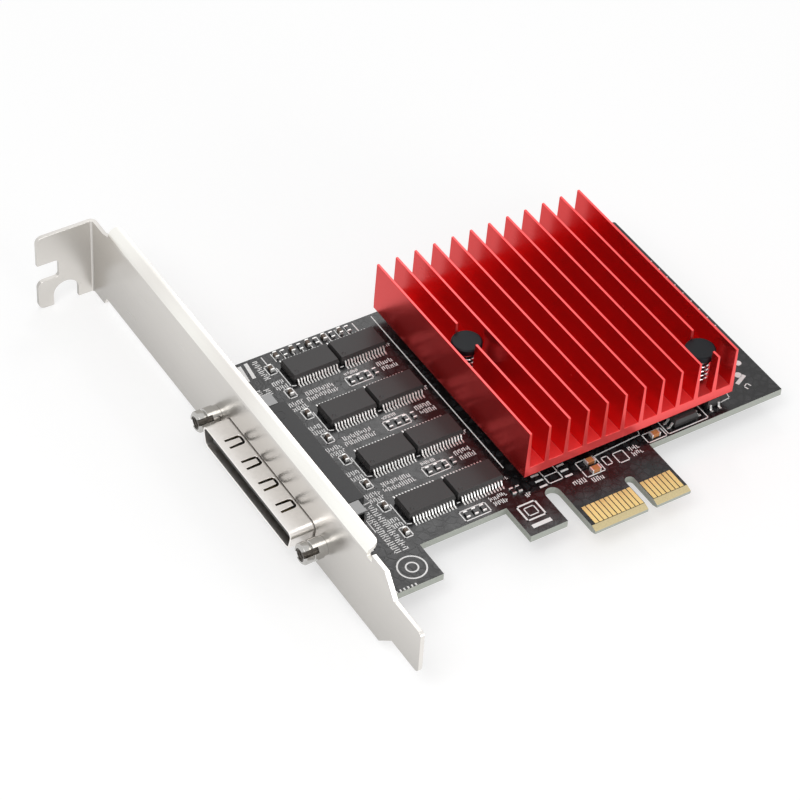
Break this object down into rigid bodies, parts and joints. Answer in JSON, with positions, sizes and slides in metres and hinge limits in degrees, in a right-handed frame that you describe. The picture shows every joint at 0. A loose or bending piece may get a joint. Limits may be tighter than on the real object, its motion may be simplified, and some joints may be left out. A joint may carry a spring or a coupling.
{
  "type": "serial port expansion card",
  "caption": "Low-profile serial expansion card on a full-height bracket, with a wide shielded connector, jack posts, line transceivers and a finned heat sink.",
  "frame": {"origin": "middle of the key notch at the lower edge of the contact tongue, on the board's component face", "axes": "+X along the card away from the bracket, +Y towards the bracket's screw tab, +Z out of the component face"},
  "size_m": [0.1104, 0.1208, 0.0207],
  "materials": {
    "bracket_steel": "satin",
    "solder_mask": "satin",
    "gold_plating": "polished",
    "nickel_shell": "satin",
    "nickel_turned": "polished",
    "black_moulding": "matte",
    "solder": "bright",
    "red_anodised": "satin",
    "thermal_compound": "matte",
    "chip_moulding": "matte",
    "tinned_leads": "satin",
    "black_nylon": "satin",
    "spring_steel": "polished",
    "ceramic_body": "satin",
    "resistor_body": "satin"
  },
  "bodies": {
    "root": {"bracket": "bracket_steel", "circuit_board": "solder_mask", "edge_contacts_component_side": "gold_plating", "edge_contacts_solder_side": "gold_plating", "connector_shell": "nickel_shell", "connector_housing": "black_moulding", "connector_contacts": "gold_plating", "connector_solder_joints": "solder", "jack_post_upper": "nickel_turned", "jack_post_lower": "nickel_turned", "heatsink": "red_anodised", "controller_chip": "chip_moulding", "thermal_pad": "thermal_compound", "push_pin_left": "black_nylon", "push_pin_right": "black_nylon", "push_pin_spring_left": "spring_steel", "push_pin_spring_right": "spring_steel", "memory_chip": "chip_moulding", "memory_chip_leads": "tinned_leads", "regulator": "chip_moulding", "regulator_leads": "tinned_leads", "chip_capacitors": "ceramic_body", "chip_capacitor_ends": "tinned_leads", "chip_resistors": "resistor_body", "chip_resistor_ends": "tinned_leads", "supply_capacitors": "ceramic_body", "supply_capacitor_ends": "tinned_leads", "transceiver_1": "chip_moulding", "transceiver_leads_1": "tinned_leads", "transceiver_2": "chip_moulding", "transceiver_leads_2": "tinned_leads", "transceiver_3": "chip_moulding", "transceiver_leads_3": "tinned_leads", "transceiver_4": "chip_moulding", "transceiver_leads_4": "tinned_leads", "transceiver_5": "chip_moulding", "transceiver_leads_5": "tinned_leads", "transceiver_6": "chip_moulding", "transceiver_leads_6": "tinned_leads", "transceiver_7": "chip_moulding", "transceiver_leads_7": "tinned_leads", "transceiver_8": "chip_moulding", "transceiver_leads_8": "tinned_leads"}
  },
  "joints": []
}
